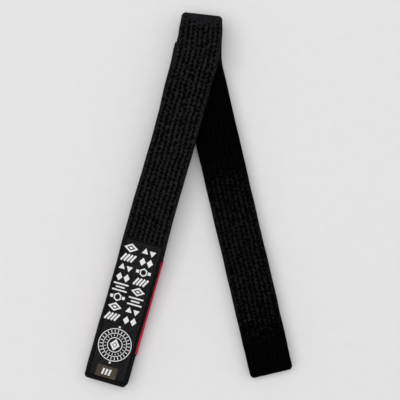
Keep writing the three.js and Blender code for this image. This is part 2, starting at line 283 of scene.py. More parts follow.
def fork_reach():
    """The reach at which the left leg's inner edge leaves the right leg's."""
    between = edge_after_turn(RIGHT_LEG, -1) - edge_after_turn(LEFT_LEG, 1)
    left_way = -forward(LEFT_LEG["heading"])
    right_way = -forward(RIGHT_LEG["heading"])
    along = np.cross(between, right_way)[2] / np.cross(left_way, right_way)[2]
    return STEM_LENGTH + LEFT_LEG["turn"] + along


DESCENT = (fork_reach() + DESCENT_MARGIN, LABEL_TIP - REST_LENGTH)


def sidestep_share(reach):
    return smoothstep(reach, 0, APEX_PLANE) * (1 - smoothstep(reach, *SIDESTEP_FADE))


def right_run(run):
    def line(reach):
        point, heading = leg_line(RIGHT_LEG, reach)
        sidestep = RIGHT_LEG["sidestep"] * (run - INNERMOST_RUN) * sidestep_share(reach)
        point = APEX + point + np.atleast_1d(sidestep)[:, None] * rightward(heading)
        point[:, 2] = (run - LABEL_RUN) * PITCH + HALF_THICK
        return point, heading
    return line


def left_run(run):
    def line(reach):
        point, heading = leg_line(LEFT_LEG, reach)
        bar = smoothstep(reach, BAR_START - BAR_RAMP, BAR_START)
        cloths_beneath = max(BAR_RUN + 1 - run, 0)
        bar_shift = BAR_SHIFT * bar if run == BAR_RUN else 0
        sidestep = LEFT_LEG["sidestep"] * (run - LABEL_RUN) * sidestep_share(reach)
        from_loop = np.maximum(reach - (run - LABEL_RUN) * LOOP_STEP, 0)
        stray = LOOP_STRAY[run] * np.exp(-(from_loop / STRAY_REACH) ** 2)
        aside = np.atleast_1d(sidestep + bar_shift + stray)
        point = APEX + point + aside[:, None] * rightward(heading)
        base = RIGHT_STACK * (1 - smoothstep(reach, *DESCENT))
        bottom = base + (INNERMOST_RUN - run) * PITCH + cloths_beneath * BAR_LIFT * bar
        point[:, 2] = bottom + HALF_THICK
        return point, heading
    return line


def find_apex():
    """The place in the frame of the point that reaches are measured from. The lowest run of the
    right leg is straight where it ends, so its lowest Y and highest X are corners of that end."""
    low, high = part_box("cover_right_run_1")
    point, heading = leg_line(RIGHT_LEG, RIGHT_PLANE - GAP / 2)
    across = HALF_WIDTH * rightward(heading)[0]
    return np.array([high.x - (point[0] + across)[0], low.y - (point[0] - across)[1], 0])


APEX = find_apex()


def stretch(line, start, stop):
    """The points and headings of a run, from one reach to another."""
    count = max(int(abs(stop - start) / FINE), 1) + 1
    return line(np.linspace(start, stop, count))


def bend(lower, upper, nose, plane):
    """The reach at which a bend leaves its two runs, and its points and headings, from the lower
    run to the upper one."""
    height = (upper(nose)[0][0, 2] - lower(nose)[0][0, 2]) / 2
    bulge = min(abs(plane - nose), height ** 2 / SHARPEST_BEND)
    side = math.copysign(1, plane - nose)
    start = nose + side * bulge
    count = int(math.pi * max(height, bulge) / FINE)
    angle = np.linspace(-math.pi / 2, math.pi / 2, count)
    reach = start - side * bulge * np.cos(angle)
    share = (1 + np.sin(angle)) / 2
    low, low_heading = lower(reach)
    high, high_heading = upper(reach)
    points = low + (high - low) * share[:, None]
    return start, (points, low_heading + (high_heading - low_heading) * share)


class Course:
    """The line that a strip follows, with the strip's own directions at each length along it."""

    def __init__(self, *stretches):
        points = np.vstack([points for points, _ in stretches])
        headings = np.concatenate([headings for _, headings in stretches])
        steps = np.linalg.norm(np.diff(points, axis=0), axis=1)
        keep = np.append(True, steps > FINE / 100)
        self.points = points[keep]
        self.headings = headings[keep]
        steps = np.linalg.norm(np.diff(self.points, axis=0), axis=1)
        self.lengths = np.append(0, np.cumsum(steps))
        self.length = self.lengths[-1]

    def place(self, lengths):
        columns = [np.interp(lengths, self.lengths, self.points[:, i]) for i in range(3)]
        return np.stack(columns, -1)

    def at(self, lengths):
        """Points, and the unit directions along, across and through the strip."""
        lengths = np.atleast_1d(lengths)
        ahead = self.place(np.minimum(lengths + STATION / 2, self.length))
        behind = self.place(np.maximum(lengths - STATION / 2, 0))
        along = ahead - behind
        along /= np.linalg.norm(along, axis=1, keepdims=True)
        across = rightward(np.interp(lengths, self.lengths, self.headings))
        through = np.cross(along, across)
        through /= np.linalg.norm(through, axis=1, keepdims=True)
        return self.place(lengths), along, across, through

    def nearest(self, point):
        """The length along the course at which it passes closest to a point."""
        return self.lengths[np.argmin(np.linalg.norm(self.points - point, axis=1))]


# ------------------------------------------------------------------ the surface of the strip

def wander(across, length):
    """How far the sewing strays sideways."""
    stray = 0
    for far, over, apart, start in SEWING_WAVES:
        stray = stray + far * np.sin(length / over + apart * across + start)
    return stray * (1 - (across / HALF_WIDTH) ** 4)


def sway(length, layer):
    """How far a layer strays sideways, so that the edges of a stack aren't ruled lines. A layer is
    (seed, whole length), and it strays nowhere at its two ends, where it meets another."""
    seed, whole = layer
    stray = sum(far * np.sin(length / over + apart * seed) for far, over, apart in LAYER_WAVES)
    return stray * smoothstep(length, 0, SWAY_START) * smoothstep(whole - length, 0, SWAY_START)


def hole_place(row, number):
    return ROW_PHASE[row] + number * STITCH + HOLE_JITTER[row, number % HOLES_DRAWN]


def hole_aside(row, number):
    return HOLE_ASIDE[row, number % HOLES_DRAWN]


def quilting(across, laid):
    """How deep the surface is drawn in, for each length of belt laid and each place across it."""
    row = np.argmin(np.abs(across[:, None] - ROW_PLACES), axis=1)
    off_row = across - ROW_PLACES[row]
    number = np.round((laid[:, None] - ROW_PHASE[row]) / STITCH).astype(int)
    off_hole = laid[:, None] - hole_place(row, number)
    groove = GROOVE_DEPTH * np.exp(-(off_row / GROOVE_WIDTH) ** 2)
    off_stitches = off_row - hole_aside(row, number)
    hole = np.exp(-(off_stitches / PIT_WIDTH) ** 2 - (off_hole / PIT_LENGTH) ** 2)
    hole *= HOLE_SHARE[row, number % HOLES_DRAWN]
    into_ribs = np.abs(across) - RIBS_START
    rib = RIB_DEPTH * np.sin(np.pi * into_ribs / RIB_PITCH) ** 2 * (into_ribs > 0)
    return groove + PIT_DEPTH * hole + rib


def belt_columns():
    """Places across one face of the strip, closest at the stitch rows and at the round edges."""
    from_row = np.array([-0.27, -0.14, 0, 0.14, 0.27, 0.5]) * ROW_PITCH
    between = np.concatenate([place + from_row for place in ROW_PLACES])
    inner = between[np.abs(between) <= ROW_PLACES[-1] + 0.3 * ROW_PITCH]
    flat_edge = HALF_WIDTH - EDGE_ROUND
    rounds = flat_edge + EDGE_ROUND * np.sin(np.radians([0, 9, 18, 27, 36, 52, 66, 79]))
    border = np.append(np.arange(RIBS_START, flat_edge - RIB_PITCH / 8, RIB_PITCH / 4), rounds)
    return np.concatenate([-border[::-1], inner, border])


def new_piece(name, points, faces, smooth):
    mesh = bpy.data.meshes.new(name)
    mesh.from_pydata(points.reshape(-1, 3).tolist(), [], faces)
    mesh.polygons.foreach_set("use_smooth", smooth)
    piece = bpy.data.objects.new(name, mesh)
    bpy.context.scene.collection.objects.link(piece)
    return piece


def ring_mesh(name, rings, comes_round=False):
    """A closed skin over rings of points. A ring starts at the left edge, goes over the upper face
    to the right edge and comes back under the lower face. The last ring has an end face, as the
    first has, unless the skin comes round to the first one again."""
    stations, columns = rings.shape[:2]
    index = np.arange(stations * columns).reshape(stations, columns)
    here, following = index, np.roll(index, -1, 0)
    if not comes_round:
        here, following = index[:-1], index[1:]
    quads = np.stack([here, following, np.roll(following, -1, 1), np.roll(here, -1, 1)], -1)
    faces = quads.reshape(-1, 4).tolist()
    skin_count = len(faces)
    if not comes_round:
        upper = np.arange(columns // 2)
        lower = (columns - upper) % columns
        lower_next = (columns - upper - 1) % columns
        cap = np.stack([upper, upper + 1, lower_next, lower], -1)
        ends = np.concatenate([index[0][cap], index[-1][cap[:, ::-1]]])
        faces += [list(dict.fromkeys(face)) for face in ends.tolist()]
    return new_piece(name, rings, faces, np.arange(len(faces)) < skin_count)


def store(piece, name, values):
    attribute = piece.data.attributes.new(name, "FLOAT", "POINT")
    attribute.data.foreach_set("value", np.asarray(values, np.float32).ravel())


def lay_out(piece, across, along):
    """A UV map in metres of cloth, across and along it, for the weave to follow."""
    layer = piece.data.uv_layers.new(name="cloth")
    loops = np.zeros(len(piece.data.loops), np.int32)
    piece.data.loops.foreach_get("vertex_index", loops)
    cloth = np.stack([across.ravel()[loops], along.ravel()[loops]], -1)
    layer.data.foreach_set("uv", cloth.astype(np.float32).ravel())


def skin(name, frames, laid, place, upper, lower, edges):
    """A closed, flat sort of piece. place is how far across its columns are, upper and lower are
    their heights, and edges are how far across its left and right edge are, at each section."""
    point, _, across, through = frames

    def row(sideways, height):
        aside = sideways[..., None] * across[:, None]
        return point[:, None] + aside + height[..., None] * through[:, None]

    left, right = edges
    left_height = (upper[:, :1] + lower[:, :1]) / 2
    right_height = (upper[:, -1:] + lower[:, -1:]) / 2
    sideways = [left[:, None], place, right[:, None], place[:, ::-1]]
    heights = [left_height, upper, right_height, lower[:, ::-1]]
    piece = ring_mesh(name, np.concatenate([row(*pair) for pair in zip(sideways, heights)], 1))
    sideways = np.concatenate(sideways, 1)
    lay_out(piece, sideways, np.broadcast_to(laid[:, None], sideways.shape))
    return piece


def stations_of(length, tip):
    """The lengths at which a strip has sections, closer together at a rounded tip."""
    if not tip:
        return np.linspace(0, length, max(round(length / STATION), 2) + 1)
    near_tip = TIP_CORNER * (1 - np.sin(np.radians([15, 30, 43, 55, 65, 73, 80, 85, 88.5])))
    until = length - TIP_CORNER
    return np.append(np.linspace(0, until, round(until / STATION) + 1), length - near_tip)


def folding(lengths, noses):
    """How much of its width and of its quilting the strip keeps near the folds it goes round."""
    width = np.ones(len(lengths))
    depth = np.ones(len(lengths))
    for nose, narrowing, smoothing, spread in noses:
        width -= narrowing * np.exp(-((lengths - nose) / spread) ** 4)
        depth -= smoothing * np.exp(-((lengths - nose) / spread) ** 6)
    return width, depth


def strip(name, course, layer, laid=0, tip=False, noses=(), black=()):
    """A stretch of the quilted strip. laid is the length of its layer before it, and each nose is
    (length, share of the width lost, share of the quilting lost, how far each way). black lists
    where the cloth is painted dark as painted shade and shadow, as (length, how far each way)."""
    lengths = stations_of(course.length, tip)
    across = belt_columns()
    width, keep = folding(lengths, noses)
    thickness = np.ones(len(lengths))
    if tip:
        from_tip = course.length - lengths
        corner = 1 - np.clip(from_tip / TIP_CORNER, 0, 1)
        width *= 1 - (TIP_CORNER / HALF_WIDTH) * (1 - np.sqrt(1 - corner ** 2))
        thickness = np.sqrt(1 - (1 - np.clip(from_tip / TIP_ROUND, TIP_THINNEST, 1)) ** 2)
        keep *= smoothstep(from_tip, *TIP_PLAIN)
    depth = quilting(across, laid + lengths) * keep[:, None]
    past_flat = np.clip((np.abs(across) - HALF_WIDTH + EDGE_ROUND) / EDGE_ROUND, 0, 1)
    height = (HALF_THICK * np.sqrt(1 - past_flat ** 2) - depth) * thickness[:, None]
    stray = sway(laid + lengths, layer)
    place = (across + wander(across, (laid + lengths)[:, None])) * width[:, None] + stray[:, None]
    edges = (stray - HALF_WIDTH * width, stray + HALF_WIDTH * width)
    piece = skin(name, course.at(lengths), laid + lengths, place, height, -height, edges)
    edge = np.zeros((len(lengths), 1))
    # How far in the surface is, which darkens the cotton as painted shade in its pits and grooves,
    # with more painted shade and shadow added where black lists.
    drawn_in = np.hstack([edge, depth, edge, depth[:, ::-1]]) / DEEPEST
    for middle, reach in black:
        drawn_in += SHADE_DEEPENING * np.exp(-((lengths - middle) / reach) ** 2)[:, None]
    store(piece, "drawn_in", drawn_in)
    return piece


def one_stitch():
    """A plump thread lying from hole to hole: its points, 1 long each way, and its faces."""
    bpy.ops.mesh.primitive_uv_sphere_add(segments=6, ring_count=4, radius=1)
    ball = bpy.context.object
    ball.rotation_euler = (0, math.pi / 2, 0)
    bpy.ops.object.transform_apply(rotation=True)
    points = np.array([vertex.co for vertex in ball.data.vertices])
    faces = [list(face.vertices) for face in ball.data.polygons]
    bpy.data.objects.remove(ball)
    return points, faces


def sew(name, stitches):
    """One piece of thread from many stitches, each given as its middle and its three half sizes."""
    points, faces = STITCH_SHAPE
    middle, length, breadth, height = (np.array(part) for part in zip(*stitches))
    places = middle[:, None] + points[None, :, 0, None] * length[:, None]
    places = places + points[None, :, 1, None] * breadth[:, None]
    places = places + points[None, :, 2, None] * height[:, None]
    count = len(points)
    every = []
    for stitch in range(len(stitches)):
        every += [[corner + count * stitch for corner in face] for face in faces]
    piece = new_piece(name, places, every, np.ones(len(every), bool))
    lay_out(piece, np.tile(points[:, 1] * THREAD_RADIUS, len(stitches)),
            np.tile(points[:, 0] * STITCH / 2, len(stitches)))
    return piece


def quilting_thread(name, course, layer, stretches, laid=0, noses=()):
    """The eight rows of stitches, on the faces and lengths given as (face, from, to)."""
    stitches = []
    for face, start, stop in stretches:
        for row in range(ROWS):
            first = math.ceil((laid + start - ROW_PHASE[row]) / STITCH)
            last = math.floor((laid + stop - ROW_PHASE[row]) / STITCH) - 1
            number = np.arange(first, last)
            places = []
            for hole in (number, number + 1):
                at = hole_place(row, hole)
                width, _ = folding(at - laid, noses)
                point, _, across, through = course.at(at - laid)
                aside = (ROW_PLACES[row] + wander(ROW_PLACES[row], at)) * width + sway(at, layer)
                aside += hole_aside(row, hole)
                rise = face * (HALF_THICK - THREAD_RADIUS - THREAD_SUNK)
                places.append(point + aside[:, None] * across + rise * through)
            centre = (places[0] + places[1]) / 2
            length = np.linalg.norm(places[1] - places[0], axis=1, keepdims=True)
            half = (places[1] - places[0]) / 2 * (1 - STITCH_SINK / length)
            stitches += list(zip(centre, half, THREAD_RADIUS * across, THREAD_RADIUS * through))
    return sew(name, stitches)


# ------------------------------------------------------------------ shader groups and materials

class Tree:
    """A node tree with short calls to add to it."""

    def __init__(self, tree):
        self.tree = tree

    def node(self, kind, **settings):
        node = self.tree.nodes.new(kind)
        for key, value in settings.items():
            setattr(node, key, value)
        return node

    def join(self, value, socket):
        if isinstance(value, bpy.types.NodeSocket):
            self.tree.links.new(value, socket)
        else:
            socket.default_value = value

    def math(self, operation, *values):
        node = self.node("ShaderNodeMath", operation=operation)
        for value, socket in zip(values, node.inputs):
            self.join(value, socket)
        return node.outputs[0]

    def mix(self, share, first, second):
        node = self.node("ShaderNodeMix", data_type="RGBA")
        self.join(share, node.inputs[0])
        self.join(first, node.inputs[6])
        self.join(second, node.inputs[7])
        return node.outputs[2]

    def noise(self, vector, scale, detail=2.0):
        node = self.node("ShaderNodeTexNoise")
        self.join(vector, node.inputs["Vector"])
        node.inputs["Scale"].default_value = scale
        node.inputs["Detail"].default_value = detail
        return node.outputs["Fac"]

    def range(self, value, *limits):
        """A smooth step from one pair of limits to another."""
        node = self.node("ShaderNodeMapRange", interpolation_type="SMOOTHSTEP")
        for part, socket in zip((value, *limits), node.inputs):
            self.join(part, socket)
        return node.outputs[0]

    def group(self, tree, **values):
        node = self.node("ShaderNodeGroup", node_tree=tree)
        for key, value in values.items():
            self.join(value, node.inputs[key.replace("_", " ").capitalize()])
        return node.outputs


def new_group(name, vector, numbers, result):
    """An empty shader group with a vector input, number inputs and a number for its result, and its
    input and output sockets."""
    tree = bpy.data.node_groups.new(name, "ShaderNodeTree")
    tree.interface.new_socket(vector, in_out="INPUT", socket_type="NodeSocketVector")
    for number in numbers:
        tree.interface.new_socket(number, in_out="INPUT", socket_type="NodeSocketFloat")
    tree.interface.new_socket(result, in_out="OUTPUT", socket_type="NodeSocketFloat")
    build = Tree(tree)
    return build, build.node("NodeGroupInput").outputs, build.node("NodeGroupOutput").inputs


def weave_group():
    """Threads that cross over and under. Height is the surface of the cloth, from 0 to 1."""
    numbers = ["Warp pitch", "Weft pitch", "Repeat", "Step"]
    build, given, made = new_group("weave", "Cloth", numbers, "Height")
    parts = build.node("ShaderNodeSeparateXYZ")
    build.join(given["Cloth"], parts.inputs[0])
    warp = build.math("DIVIDE", parts.outputs[0], given["Warp pitch"])
    weft = build.math("DIVIDE", parts.outputs[1], given["Weft pitch"])
    warp_round = build.math("ABSOLUTE", build.math("SINE", build.math("MULTIPLY", warp, math.pi)))
    weft_round = build.math("ABSOLUTE", build.math("SINE", build.math("MULTIPLY", weft, math.pi)))
    shifted = build.math("MULTIPLY", build.math("FLOOR", weft), given["Step"])
    cell = build.math("ADD", build.math("FLOOR", warp), shifted)
    weft_over = build.math("LESS_THAN", build.math("FLOORED_MODULO", cell, given["Repeat"]), 0.5)
    warp_over = build.math("SUBTRACT", 1.0, weft_over)
    raised = build.math("ADD", build.math("MULTIPLY", weft_round, weft_over),
                        build.math("MULTIPLY", warp_round, warp_over))
    build.join(raised, made["Height"])
    return build.tree


def wear_and_shade_group():
    """Lint, rubbing and painted shade: how much lighter the cloth is, from 0 to 1, where it stands
    out; where it is drawn in it is painted dark as shade.
    """
    numbers = ["Drawn in", "Weave", "Rubbed to", "Black from"]
    build, given, made = new_group("wear_and_painted_shade", "Place", numbers, "Light")
    patches = build.noise(given["Place"], 55.0, 3.0)
    blotches = build.range(build.noise(given["Place"], 620.0, 1.0), 0.36, 0.64, 0.0, 1.0)
    speckle = build.noise(given["Place"], 1500.0, 2.0)
    # The cloth is painted black where it is drawn in: painted shade in pits, grooves and seams.
    rubbed = build.math("MULTIPLY", build.math("SUBTRACT", blotches, 0.5), SHADE_EDGE_UNEVEN)
    proud = build.range(build.math("SUBTRACT", given["Drawn in"], rubbed),
                        given["Rubbed to"], given["Black from"], 1.0, 0.0)
    uneven = 0.0
    for tone, share in ((patches, 0.5), (blotches, 0.6), (speckle, 0.4)):
        uneven = build.math("ADD", uneven, build.math("MULTIPLY", tone, share))
    # The cloth is darker between its threads than on them: painted shade.
    threads = build.math("ADD", build.math("MULTIPLY", given["Weave"], 0.55), 0.45)
    light = build.math("MULTIPLY", build.math("MULTIPLY", proud, uneven), threads)
    build.join(light, made["Light"])
    return build.tree


def grain_group():
    """Slow and quick changes of tone over a cloth, from 0 to 1."""
    build, given, made = new_group("grain", "Place", [], "Tone")
    slow = build.noise(given["Place"], 90.0, 2.0)
    quick = build.noise(given["Place"], 1400.0, 2.0)
    tone = build.math("ADD", build.math("MULTIPLY", slow, 0.6), build.math("MULTIPLY", quick, 0.4))
    build.join(tone, made["Tone"])
    return build.tree


def cloth(name, dark, light, pitch, repeat=2.0, step=1.0, roughness=0.9, specular=0.15,
          sheen=0.1, bump=0.1 * MM, rubbed=None):
    """A woven material between two colours. pitch is the spacing of its warp and weft threads, and
    the last argument, a pair, is how far in the cloth is lighter and how far in it is black, where
    it is drawn in, as painted shade in its hollows."""
    material = bpy.data.materials.new(name)
    material.use_nodes = True
    build = Tree(material.node_tree)
    shader = build.tree.nodes["Principled BSDF"]
    place = build.node("ShaderNodeTexCoord").outputs["Object"]
    laid = build.node("ShaderNodeUVMap", uv_map="cloth").outputs[0]
    weave = build.group(WEAVE, cloth=laid, warp_pitch=pitch[0], weft_pitch=pitch[1],
                        repeat=repeat, step=step)["Height"]
    if rubbed:
        drawn_in = build.node("ShaderNodeAttribute", attribute_name="drawn_in").outputs["Fac"]
        share = build.group(WEAR_AND_SHADE, place=place, drawn_in=drawn_in, weave=weave,
                            rubbed_to=rubbed[0], black_from=rubbed[1])["Light"]
    else:
        tone = build.group(GRAIN, place=place)["Tone"]
        # The cloth is darker between its threads than on them: painted shade.
        threads = build.math("MULTIPLY", weave, THREAD_LIGHT)
        share = build.math("MULTIPLY", tone, build.math("ADD", threads, CLOTH_LIGHT))
    build.join(build.mix(share, (*dark, 1), (*light, 1)), shader.inputs["Base Color"])
    between = build.math("SUBTRACT", 1.0, weave)
    dull = build.math("MULTIPLY", between, DULLER_BETWEEN)
    build.join(build.math("ADD", dull, roughness - DULLER_BETWEEN / 2), shader.inputs["Roughness"])
    raised = build.node("ShaderNodeBump")
    raised.inputs["Strength"].default_value = 1.0
    raised.inputs["Distance"].default_value = bump
    build.join(weave, raised.inputs["Height"])
    build.join(raised.outputs[0], shader.inputs["Normal"])
    shader.inputs["Specular IOR Level"].default_value = specular
    shader.inputs["Sheen Weight"].default_value = sheen
    shader.inputs["Sheen Roughness"].default_value = 0.4
    return material


# ------------------------------------------------------------------ finishing pieces and baking their places

def finish_piece(piece, material, stands_for=()):
    piece.data.materials.append(material)
    if stands_for:
        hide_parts(*stands_for)
    return piece


def both(*names):
    return [f"{layer}_{name}" for name in names for layer in ("cover", "core")]


def apex_blend(pieces):
    """Pieces that cross the apex, with their places baked into their points."""
    for piece in pieces:
        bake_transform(piece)


def leg_blend(pieces, run, flex):
    """Pieces between two reaches along the left leg, with their places baked into their points. The
    two reaches' points are found and not used.
    """
    start, end = (left_run(run)(reach)[0][0] for reach in flex)
    for piece in pieces:
        tuple(start)
        tuple(end)
        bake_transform(piece)


# ------------------------------------------------------------------ the strip, layer by layer

def apex_loop(run):
    nose = (run - LABEL_RUN) * LOOP_STEP + HALF_THICK
    return bend(right_run(run), left_run(run), nose, LOOP_PLANE)


def nose_of(course, arc):
    """The length along a course of the middle of one of its bends."""
    points, _ = arc
    return course.nearest(points[len(points) // 2])


def over_the_apex(run):
    """The course of a run of the right leg, round its loop and back to where the left leg bends,
    and the length of the loop's nose along it."""
    start, arc = apex_loop(run)
    course = Course(stretch(right_run(run), RIGHT_PLANE, start), arc,
                    stretch(left_run(run), start, BAR_FLEX[0]))
    return course, nose_of(course, arc)


def from_the_fold(lower_run, upper_run, nose, plane):
    """The course from a lower run of the right leg round a fold at its far end, then back along an
    upper run and round its loop, and the lengths of the fold's and the loop's noses along it."""
    lower, upper = right_run(lower_run), right_run(upper_run)
    fold_start, fold = bend(lower, upper, nose, plane)
    start, arc = apex_loop(upper_run)
    course = Course(stretch(lower, RIGHT_PLANE, fold_start), fold,
                    stretch(upper, fold_start, start), arc,
                    stretch(left_run(upper_run), start, APEX_PLANE))
    return course, nose_of(course, fold), nose_of(course, arc)


def quilted(name, course, layer, stitched, stands_for,
            laid=0, tip=False, noses=(), black=()):
    """A stretch of strip and its thread. stitched lists (face, from, to)."""
    piece = strip(f"{name}_strip", course, layer, laid, tip, noses, black)
    # The right leg's top gets a darker copy of the cotton than the left leg's: painted shade.
    cotton = WORN_LIT_COTTON if layer[0] in WORN_LIT_LAYERS else SHADED_COTTON
    finish_piece(piece, cotton, both(*stands_for))
    if not stitched:
        return [piece]
    thread = quilting_thread(f"{name}_quilting_thread", course, layer, stitched, laid, noses)
    return [piece, finish_piece(thread, THREAD)]


def build_outer_layer():
    """The lowest run of the right leg, the outermost loop, and the left leg's label run."""
    course, nose = over_the_apex(LABEL_RUN)
    line = left_run(LABEL_RUN)
    flex = Course(stretch(line, *BAR_FLEX))
    end = Course(stretch(line, BAR_FLEX[1], LABEL_TIP))
    layer = (1, course.length + flex.length + end.length)
    noses = [(nose, 0.055, 0.9, 18 * MM), (nose, 0.075, 0, 5 * MM)]
    pieces = quilted("outer", course, layer, [(1, 0, course.length)],
                     ["right_run_1", "apex_loop_1", "label_root"], noses=noses)
    apex_blend(pieces)
    pieces = quilted("label_bend", flex, layer, [(face, 0, flex.length) for face in FACES],
                     ["label_flex_over_bar"], laid=course.length)
    leg_blend(pieces, LABEL_RUN, BAR_FLEX)
    seen = [(1, 0, end.length - LABEL_LENGTH), (-1, 0, end.length - TIP_CORNER)]
    pieces = quilted("label_end", end, layer, seen, ["label_flex", "label_end"],
                     laid=course.length + flex.length, tip=True)
    leg_blend(pieces, LABEL_RUN, LABEL_FLEX)


def build_second_layer():
    """The second run, the loop inside the outermost, and the left leg's bar run."""
    course, nose = over_the_apex(BAR_RUN)
    end = Course(stretch(left_run(BAR_RUN), BAR_FLEX[0], BAR_TIP))
    layer = (2, course.length + end.length)
    pieces = quilted("second", course, layer, [],
                     ["right_run_2", "apex_loop_2", "bar_root"], noses=[(nose, 0.06, 0.6, 16 * MM)])
    apex_blend(pieces)
    before_bar = BAR_START - BAR_FLEX[0]
    after_bar = BAR_END - BAR_FLEX[0]
    seen = [(face, *part) for face in FACES
            for part in ((0, before_bar), (after_bar, end.length - 2 * TIP_CORNER))]
    pieces = quilted("bar_end", end, layer, seen, ["bar_flex", "bar_end"],
                     laid=course.length, tip=True)
    leg_blend(pieces, BAR_RUN, BAR_FLEX)


def build_third_layer():
    """The inner fold at the far end of the right leg, the third run and the third loop."""
    inner_nose = RIGHT_NOSE - INNER_FOLD_INSET
    course, nose, loop = from_the_fold(BAR_RUN, INNER_RUN, inner_nose, RIGHT_PLANE)
    noses = [(nose, 0.04, 0.5, 9 * MM), (loop, 0.05, 0.5, 12 * MM)]
    pieces = quilted("third", course, (3, course.length), [],
                     ["right_run_3", "apex_loop_3", "inner_end_fold"], noses=noses)
    apex_blend(pieces)


def build_fourth_layer():
    """The outer fold at the far end of the right leg, its uppermost run and the innermost loop."""
    plane = RIGHT_NOSE - END_NOSE
    course, nose, loop = from_the_fold(LABEL_RUN, INNERMOST_RUN, RIGHT_NOSE, plane)
    noses = [(nose, 0, 0.85, 15 * MM), (nose, 0.05, 0, 2.6 * MM), (loop, 0.03, 0.5, 9 * MM)]
    # Painted shade round the end fold, and painted shadow of the left leg where it crosses the
    # right leg's top.
    black = [(nose, END_SHADE_REACH), (loop - CROSSING_SHADOW[0], CROSSING_SHADOW[1])]
    pieces = quilted("fourth", course, (4, course.length), [(-1, 0, course.length)],
                     ["right_run_4", "apex_loop_4", "outer_end_fold"], noses=noses, black=black)
    apex_blend(pieces)


def build_left_inner_layer():
    """The left leg's two lower runs and the fold that joins them at its far end."""
    lower, upper = left_run(INNERMOST_RUN), left_run(INNER_RUN)
    fold_start, fold = bend(lower, upper, LEFT_NOSE, LEFT_PLANE)
    course = Course(stretch(lower, APEX_PLANE, fold_start), fold,
                    stretch(upper, fold_start, APEX_PLANE))
    noses = [(nose_of(course, fold), 0.04, 0.5, 9 * MM)]
    pieces = quilted("left_inner", course, (5, course.length), [(-1, 0, course.length)],
                     ["left_run_4", "left_end_fold", "left_run_3"], noses=noses)
    for piece in pieces:
        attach(piece, "left_leg")


# ------------------------------------------------------------------ the rank bar

def belt_outline(clear, count=11):
    """Points (across, through) and outward normals round the strip's section, clear of it."""
    flat = HALF_WIDTH - EDGE_ROUND
    turn = np.radians(np.linspace(80, -80, count))
    right = np.stack([flat + (EDGE_ROUND + clear) * np.cos(turn),
                      (HALF_THICK + clear) * np.sin(turn)], -1)
    over = np.stack([np.linspace(-flat, flat, 2 * count),
                     np.full(2 * count, HALF_THICK + clear)], -1)
    outline = np.concatenate([over, right, -over, -right])
    ahead = np.roll(outline, -1, 0) - np.roll(outline, 1, 0)
    normal = np.stack([-ahead[:, 1], ahead[:, 0]], -1)
    return outline, normal / np.linalg.norm(normal, axis=1, keepdims=True)


def on_section(frames, outline):
    point, _, across, through = frames
    return (point[:, None] + outline[..., 0, None] * across[:, None]
            + outline[..., 1, None] * through[:, None])


def build_rank_bar():
    """A sleeve of red cloth with a folded hem at each end, and the stitches that hold its ends."""
    line = left_run(BAR_RUN)
    course = Course(stretch(line, BAR_START, BAR_END))
    lengths = np.linspace(0, course.length, round(course.length / BAR_STATION) + 1)
    from_end = np.minimum(lengths, course.length - lengths)
    hem = HEM_RISE * (1 - smoothstep(from_end, HEM, HEM + HEM_STEP))
    outline, normal = belt_outline(0)
    around = np.arange(len(outline))
    turned = PUCKER_TURN * np.sin(lengths[:, None] / PUCKER_ALONG)
    pucker = PUCKER * np.sin(PUCKER_AROUND * around + turned)
    outside = (BAR_OUTSIDE + hem)[:, None] + pucker
    outer = outline + outside[..., None] * normal
    inner = outline + BAR_INSIDE * normal
    frames = course.at(lengths)
    outer_rings = on_section(frames, outer)
    inner_rings = on_section(frames, np.broadcast_to(inner, outer.shape))
    rings = np.concatenate([outer_rings, inner_rings[::-1]])
    sleeve = ring_mesh("rank_bar_cloth", rings, comes_round=True)
    around_length = np.append(0, np.cumsum(np.linalg.norm(np.diff(outline, axis=0), axis=1)))
    along = np.concatenate([lengths, lengths[::-1]])
    lay_out(sleeve, np.broadcast_to(around_length, rings.shape[:2]),
            np.broadcast_to(along[:, None], rings.shape[:2]))
    finish_piece(sleeve, RED_CLOTH, ["rank_bar_sleeve"])
    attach(sleeve, "bar_end")
    for side, reach in (("inner", BAR_START - OVERCAST_HALF), ("outer", BAR_END + OVERCAST_HALF)):
        thread = overcasting(f"rank_bar_{side}_edge_thread", line, reach)
        finish_piece(thread, THREAD, [f"rank_bar_{side}_stitching"])
        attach(thread, "bar_end")


def directions_at(line, reach):
    """The middle of the strip at a reach, and its directions along, across and through it."""
    course = Course(stretch(line, reach - ON_THE_RUN, reach + ON_THE_RUN))
    return (part[0] for part in course.at(course.length / 2))


def overcasting(name, line, reach):
    """Stitches side by side right round the strip, each lying along it."""
    outline, normal = belt_outline(BAR_INSIDE)
    steps = np.linalg.norm(np.roll(outline, -1, 0) - outline, axis=1)
    round_it = np.append(0, np.cumsum(steps))
    places = np.arange(0, round_it[-1], OVERCAST_STEP)
    closed = np.vstack([outline, outline[:1]])
    closed_normal = np.vstack([normal, normal[:1]])
    spots = np.stack([np.interp(places, round_it, closed[:, i]) for i in range(2)], -1)
    ways = np.stack([np.interp(places, round_it, closed_normal[:, i]) for i in range(2)], -1)
    point, along, across, through = directions_at(line, reach)
    stitches = []
    for spot, way in zip(spots, ways):
        out = way[0] * across + way[1] * through
        beside = np.cross(along, out)
        centre = point + spot[0] * across + spot[1] * through
        lean = OVERCAST_HALF * (along + OVERCAST_LEAN * beside)
        stitches.append((centre, lean, OVERCAST_RADIUS * beside, OVERCAST_RADIUS * out))
    return sew(name, stitches)


